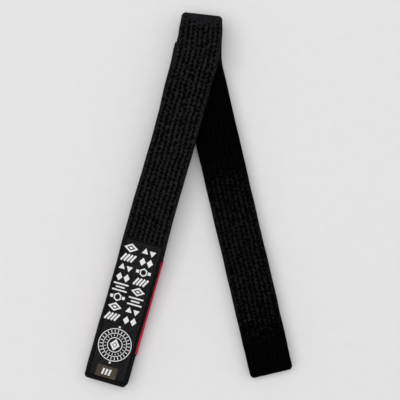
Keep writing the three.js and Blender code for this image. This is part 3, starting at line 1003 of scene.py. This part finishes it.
def closing_thread(name, line, reach, stands_for, body):
    """The row of stitches across each face that closes a tip."""
    point, along, across, through = directions_at(line, reach)
    places = np.arange(-HALF_WIDTH + TIP_CORNER, HALF_WIDTH - TIP_CORNER, CLOSING_STITCH)
    stitches = []
    for face in FACES:
        for place in places + CLOSING_STITCH / 2:
            centre = point + place * across + face * HALF_THICK * through
            half = (CLOSING_STITCH - STITCH_SINK) / 2
            stitches.append((centre, half * across, THREAD_RADIUS * along, THREAD_RADIUS * through))
    thread = finish_piece(sew(name, stitches), THREAD, [stands_for])
    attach(thread, body)


# ------------------------------------------------------------------ the woven label and size tag

def patch(name, width, start, stop, side, base, curl):
    """A ribbon sewn on the upper face of the label run. curl lifts its far right corner."""
    course = Course(stretch(left_run(LABEL_RUN), start, stop))
    lengths = np.linspace(0, course.length, round(course.length / PATCH_STATION) + 1)
    across = np.linspace(-width / 2, width / 2, round(width / PATCH_STATION) + 1)
    from_side = width / 2 - np.abs(across)
    from_end = np.minimum(lengths, course.length - lengths)
    inset = np.minimum(from_side, from_end[:, None])
    seam = SEAM_DEPTH * np.exp(-((inset - SEAM_INSET) / SEAM_SPREAD) ** 2)
    edge = EDGE_DROP * (1 - smoothstep(inset, 0, EDGE_WIDTH))
    pillow = PILLOW * np.sin(lengths[:, None] / PILLOW_ALONG + PILLOW_ACROSS * across / width)
    pillow *= smoothstep(inset, *PILLOW_START)
    far_end = smoothstep(lengths / course.length, CURL_START, 1)[:, None]
    lift = curl * (far_end * smoothstep(across / width, 0, 0.5)) ** 2
    lower = base + lift + np.zeros_like(inset)
    upper = base + PATCH_THICK - seam - edge + pillow + lift
    place = np.broadcast_to(across + side, inset.shape)
    reach = np.full(len(lengths), width / 2 + PATCH_THICK / 4)
    edges = (side - reach, side + reach)
    piece = skin(name, course.at(lengths), lengths, place, upper, lower, edges)
    # The seam's groove is painted dark as painted shade, and the ribbon's sides too.
    drawn_in = seam / SEAM_DEPTH
    rim = np.ones((len(lengths), 1))
    store(piece, "drawn_in", np.hstack([rim, drawn_in, rim, drawn_in[:, ::-1]]))
    return piece


def seam_thread(name, width, start, stop, side, height):
    """Stitches round inside the edges of a patch, at a height above the middle of the run."""
    course = Course(stretch(left_run(LABEL_RUN), start, stop))
    half = width / 2 - SEAM_INSET
    far = course.length - SEAM_INSET
    upright = np.arange(SEAM_INSET, far - SEAM_STITCH / 2, SEAM_STITCH) + SEAM_STITCH / 2
    level = np.arange(-half, half - SEAM_STITCH / 2, SEAM_STITCH) + SEAM_STITCH / 2
    rows = [(upright, np.full(len(upright), edge), True) for edge in (-half, half)]
    rows += [(np.full(len(level), end), level, False) for end in (SEAM_INSET, far)]
    stitches = []
    for lengths, aside, lengthwise in rows:
        point, along, across, through = course.at(lengths)
        centre = point + (side + aside)[:, None] * across + height * through
        way, beside = (along, across) if lengthwise else (across, along)
        stitches += list(zip(centre, SEAM_REACH * way, SEAM_RADIUS * beside, SEAM_RADIUS * through))
    return sew(name, stitches)


def slab(corners, half_across, half_along, square=False, hole=0.0):
    """A flat shape of the woven pattern, from a circle of few or many corners. hole is the share of
    it that is open in its middle, and square turns a shape of four corners flat side down."""
    turn = math.pi / 4 if square else 0.0
    radius = math.sqrt(2) if square else 1.0
    bpy.ops.mesh.primitive_circle_add(vertices=corners, radius=radius, fill_type="NGON",
                                      rotation=(0, 0, turn))
    shape = bpy.context.object
    bpy.ops.object.transform_apply(rotation=True)
    bpy.ops.object.mode_set(mode="EDIT")
    if hole:
        rim = 1 - hole if square else (1 - hole) * math.cos(math.pi / corners)
        bpy.ops.mesh.inset(thickness=rim)
        bpy.ops.mesh.delete(type="FACE")
        bpy.ops.mesh.select_all(action="SELECT")
    bpy.ops.mesh.extrude_region_move(TRANSFORM_OT_translate={"value": (0, 0, PATTERN_RISE)})
    bpy.ops.mesh.select_all(action="SELECT")
    bpy.ops.mesh.normals_make_consistent(inside=False)
    bpy.ops.object.mode_set(mode="OBJECT")
    shape.scale = (half_across, half_along, 1)
    bpy.ops.object.transform_apply(scale=True)
    return shape


def placed(shape, across=0.0, along=0.0, turn=0.0):
    """A copy of a shape at its place on the ribbon, turned by degrees."""
    copy = shape.copy()
    copy.data = shape.data.copy()
    place = Matrix.Translation((across, along, 0))
    copy.data.transform(place @ Matrix.Rotation(math.radians(turn), 4, "Z"))
    bpy.context.scene.collection.objects.link(copy)
    return copy


def discard(shapes):
    for shape in shapes:
        bpy.data.objects.remove(shape)


def plain_signs():
    """Six signs, each a list of shapes about the middle of its cell, in shares of the cell's half
    width and half height."""
    wide, tall = SIGN_HALF_WIDTH, SIGN_HALF_HEIGHT
    diamond = slab(4, 0.42 * wide, 0.95 * tall)
    diamond_ring = slab(4, 0.95 * wide, tall, hole=0.6)
    spot = slab(4, 0.3 * wide, 0.32 * tall)
    stripe = slab(4, wide, 0.17 * tall, square=True)
    short_stripe = slab(4, 0.6 * wide, 0.17 * tall, square=True)
    slant = slab(4, 0.13 * wide, 0.95 * tall, square=True)
    triangle = slab(3, 0.5 * wide, 0.85 * tall)
    hexagon = slab(6, 0.55 * wide, tall, hole=0.68)
    square = slab(4, 0.2 * wide, 0.35 * tall, square=True)
    signs = [
        [placed(diamond, -0.5 * wide), placed(diamond, 0.5 * wide)],
        [placed(diamond_ring), placed(spot)],
        [placed(stripe, 0, 0.75 * tall), placed(short_stripe), placed(stripe, 0, -0.75 * tall)],
        [placed(slant, side * wide, 0, -28) for side in (-0.66, -0.22, 0.22, 0.66)],
        [placed(triangle, -0.5 * wide), placed(triangle, 0.5 * wide, 0, 180)],
        [placed(hexagon), placed(square, -0.8 * wide), placed(square, 0.8 * wide)],
    ]
    discard((diamond, diamond_ring, spot, stripe, short_stripe, slant, triangle, hexagon, square))
    return signs


def woven_signs():
    """Two columns of signs, and the roundel beneath them."""
    signs = plain_signs()
    shapes = []
    for middle, order in SIGN_COLUMNS:
        for cell, sign in enumerate(order):
            along = SIGNS_FROM_TIP + (cell + 0.5) * SIGN_PITCH
            shapes += [placed(shape, middle, along) for shape in signs[sign]]
    discard(sum(signs, []))
    return shapes + roundel()


def roundel():
    """Rings and two rows of ticks round a diamond, in shares of the roundel's radius."""
    def part(corners, wide, tall, **shape):
        return slab(corners, wide * ROUNDEL_RADIUS, tall * ROUNDEL_RADIUS, **shape)

    rim = part(64, 1, 1, hole=0.955)
    band = part(64, 0.72, 0.72, hole=0.95)
    middle = part(32, 0.46, 0.46, hole=0.9)
    emblem = part(4, 0.3, 0.36, hole=0.5)
    heart = part(4, 0.1, 0.12)
    mark = part(4, 0.022, 0.085, square=True)
    tick = part(4, 0.016, 0.06, square=True)
    corner = part(4, 0.055, 0.055, square=True)
    across, along = ROUNDEL_PLACE
    shapes = [placed(shape, across, along) for shape in (rim, band, middle, emblem, heart)]
    rows = ((mark, ROUNDEL_MARKS, 0.83), (tick, ROUNDEL_TICKS, 0.58))
    for shape, count, share in rows:
        for turn in np.arange(count) * 360 / count:
            sine, cosine = math.sin(math.radians(turn)), math.cos(math.radians(turn))
            out = share * ROUNDEL_RADIUS
            shapes.append(placed(shape, across + out * sine, along + out * cosine, -turn))
    shapes += [placed(corner, across, along + side * 1.1 * ROUNDEL_RADIUS) for side in (-1, 1)]
    discard((rim, band, middle, emblem, heart, mark, tick, corner))
    return shapes


def tag_mark():
    """Three tally bars."""
    tally = slab(4, *TALLY_HALF_SIZE, square=True)
    middle = TAG_FROM_END + TAG_LENGTH / 2
    places = [TAG_SHIFT + side * TALLY_STEP for side in (-1, 0, 1)]
    shapes = [placed(tally, place, middle, TALLY_LEAN) for place in places]
    discard([tally])
    return shapes


def onto_ribbon(name, shapes, height):
    """One piece from flat shapes, each point given across the strip and back from its tip."""
    bpy.ops.object.select_all(action="DESELECT")
    for shape in shapes:
        shape.select_set(True)
    bpy.context.view_layer.objects.active = shapes[0]
    bpy.ops.object.join()
    piece = shapes[0]
    piece.name = name
    piece.data.name = name
    flat = np.zeros(3 * len(piece.data.vertices), np.float32)
    piece.data.vertices.foreach_get("co", flat)
    flat = flat.reshape(-1, 3).astype(float)
    start = LABEL_TIP - LABEL_LENGTH - 2 * LABEL_FROM_END
    course = Course(stretch(left_run(LABEL_RUN), start, LABEL_TIP))
    point, _, across, through = course.at(course.length - flat[:, 1])
    rise = height + flat[:, 2]
    points = point + flat[:, 0, None] * across + rise[:, None] * through
    piece.data.vertices.foreach_set("co", points.ravel())
    piece.data.update()
    lay_out(piece, flat[:, 0], flat[:, 1])
    return piece


def build_patch(name, material, size, from_tip, side, base, pattern, curl=0.0):
    """A ribbon sewn on the label end, its seam, and the white pattern (name, shapes, how far it is
    sunk) that is woven into it."""
    width, length = size
    stop = LABEL_TIP - from_tip
    start = stop - length
    top = base + PATCH_THICK
    ribbon = patch(f"{name}_ribbon", width, start, stop, side, base, curl)
    finish_piece(ribbon, material, [name])
    height = top - SEAM_DEPTH + THREAD_RADIUS / 4
    seam = seam_thread(f"{name}_seam_thread", width, start, stop, side, height)
    finish_piece(seam, THREAD, [f"{name}_stitching"])
    pattern_name, shapes, sunk = pattern
    woven = onto_ribbon(pattern_name, shapes, top - sunk)
    finish_piece(woven, WHITE_YARN)
    for piece in (ribbon, seam, woven):
        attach(piece, "label_end")


# ------------------------------------------------------------------ camera, light and floor

def place_camera():
    camera = bpy.data.cameras.new("camera")
    camera.lens = CAMERA_LENS
    camera.sensor_width = CAMERA_SENSOR
    seen_from = bpy.data.objects.new("camera", camera)
    seen_from.location = CAMERA_PLACE
    bpy.context.scene.collection.objects.link(seen_from)
    bpy.context.scene.camera = seen_from


def softbox(name, place, watts):
    """A square lamp that looks at the middle of the floor."""
    light = bpy.data.lights.new(name, "AREA")
    light.shape = "SQUARE"
    light.size = LAMP_SIZE
    light.energy = watts
    lamp = bpy.data.objects.new(name, light)
    lamp.location = place
    lamp.rotation_euler = (-Vector(place)).to_track_quat("-Z", "Y").to_euler()
    bpy.context.scene.collection.objects.link(lamp)


def light_studio():
    world = bpy.data.worlds.new("studio")
    world.use_nodes = True
    sky = world.node_tree.nodes["Background"]
    sky.inputs["Color"].default_value = (1, 1, 1, 1)
    sky.inputs["Strength"].default_value = SKY_STRENGTH
    bpy.context.scene.world = world
    bpy.context.scene.view_settings.view_transform = "Standard"
    for lamp in LAMPS:
        softbox(*lamp)


def lay_floor():
    bpy.ops.mesh.primitive_plane_add(size=FLOOR_SIZE, location=(0, 0, 0))
    floor = bpy.context.object
    floor.name = "floor"
    bpy.ops.object.mode_set(mode="EDIT")
    bpy.ops.mesh.subdivide(number_cuts=FLOOR_CUTS)
    bpy.ops.object.mode_set(mode="OBJECT")
    material = bpy.data.materials.new("pale_floor")
    material.use_nodes = True
    build = Tree(material.node_tree)
    shader = build.tree.nodes["Principled BSDF"]
    place = build.node("ShaderNodeTexCoord").outputs["Object"]
    tone = build.group(GRAIN, place=place)["Tone"]
    build.join(build.mix(tone, (*FLOOR_DARK, 1), (*FLOOR_LIGHT, 1)), shader.inputs["Base Color"])
    shader.inputs["Roughness"].default_value = 0.9
    shader.inputs["Specular IOR Level"].default_value = 0.1
    floor.data.materials.append(material)


# ------------------------------------------------------------------ the whole belt

bpy.ops.object.select_all(action="DESELECT")
STITCH_SHAPE = one_stitch()
WEAVE = weave_group()
WEAR_AND_SHADE = wear_and_shade_group()
GRAIN = grain_group()

BELT_CLOTH = {"pitch": (0.55 * MM, 0.4 * MM), "roughness": 0.95, "sheen": 0.0, "bump": 0.12 * MM}
# The first cotton is a darker copy of the second: painted shade on the right leg's top, while the
# second is lighter partly as worn cloth.
SHADED_COTTON = cloth("shaded_black_cotton", dark=(0.0003, 0.0003, 0.0004), light=(0.013, 0.013, 0.0155),
               specular=0.02, rubbed=(0.01, 0.22), **BELT_CLOTH)
WORN_LIT_COTTON = cloth("worn_lit_black_cotton", dark=(0.0005, 0.0005, 0.0007),
                    light=(0.021, 0.0204, 0.0226), specular=0.025,
                    rubbed=(0.02, 0.26), **BELT_CLOTH)
THREAD = cloth("black_thread", dark=(0.001, 0.001, 0.0014), light=(0.009, 0.0085, 0.0105),
               pitch=(0.12 * MM, 0.3 * MM), roughness=0.8, specular=0.06, sheen=0.0, bump=0.03 * MM)
RED_CLOTH = cloth("red_cloth", dark=(0.5, 0.008, 0.035), light=(0.86, 0.022, 0.085),
                  pitch=(0.5 * MM, 0.38 * MM), roughness=0.75, bump=0.08 * MM)
SATIN = cloth("black_satin", dark=(0.0008, 0.0008, 0.001), light=(0.0165, 0.0165, 0.0185),
              pitch=(0.3 * MM, 0.22 * MM), repeat=5.0, step=2.0, roughness=0.6, specular=0.05,
              sheen=0.0, bump=0.03 * MM, rubbed=(0.14, 0.55))
WHITE_YARN = cloth("white_yarn", dark=(0.6, 0.6, 0.6), light=(1.0, 1.0, 1.0),
                   pitch=(0.35 * MM, 0.3 * MM), repeat=5.0, step=2.0, roughness=0.7, bump=0.04 * MM)
TAUPE = cloth("taupe_ribbon", dark=(0.012, 0.009, 0.006), light=(0.15, 0.117, 0.09),
              pitch=(0.35 * MM, 0.35 * MM), roughness=0.8, bump=0.05 * MM)

place_camera()
light_studio()
lay_floor()
build_patch("woven_label", SATIN, (LABEL_WIDTH, LABEL_LENGTH), LABEL_FROM_END,
            LABEL_SHIFT, LABEL_BASE,
            ("woven_label_signs", woven_signs(), SIGNS_SUNK))
build_patch("size_tag", TAUPE, (TAG_WIDTH, TAG_LENGTH), TAG_FROM_END,
            TAG_SHIFT, TAG_BASE,
            ("size_tag_tally", tag_mark(), 0), TAG_CURL)
build_rank_bar()
closing_thread("label_end_closing_thread", left_run(LABEL_RUN), LABEL_TIP - LABEL_CLOSING_FROM_END,
               "label_end_closing_stitch", "label_end")
closing_thread("bar_end_closing_thread", left_run(BAR_RUN), BAR_TIP - BAR_CLOSING_FROM_END,
               "bar_end_closing_stitch", "bar_end")
build_outer_layer()
build_second_layer()
build_third_layer()
build_fourth_layer()
build_left_inner_layer()
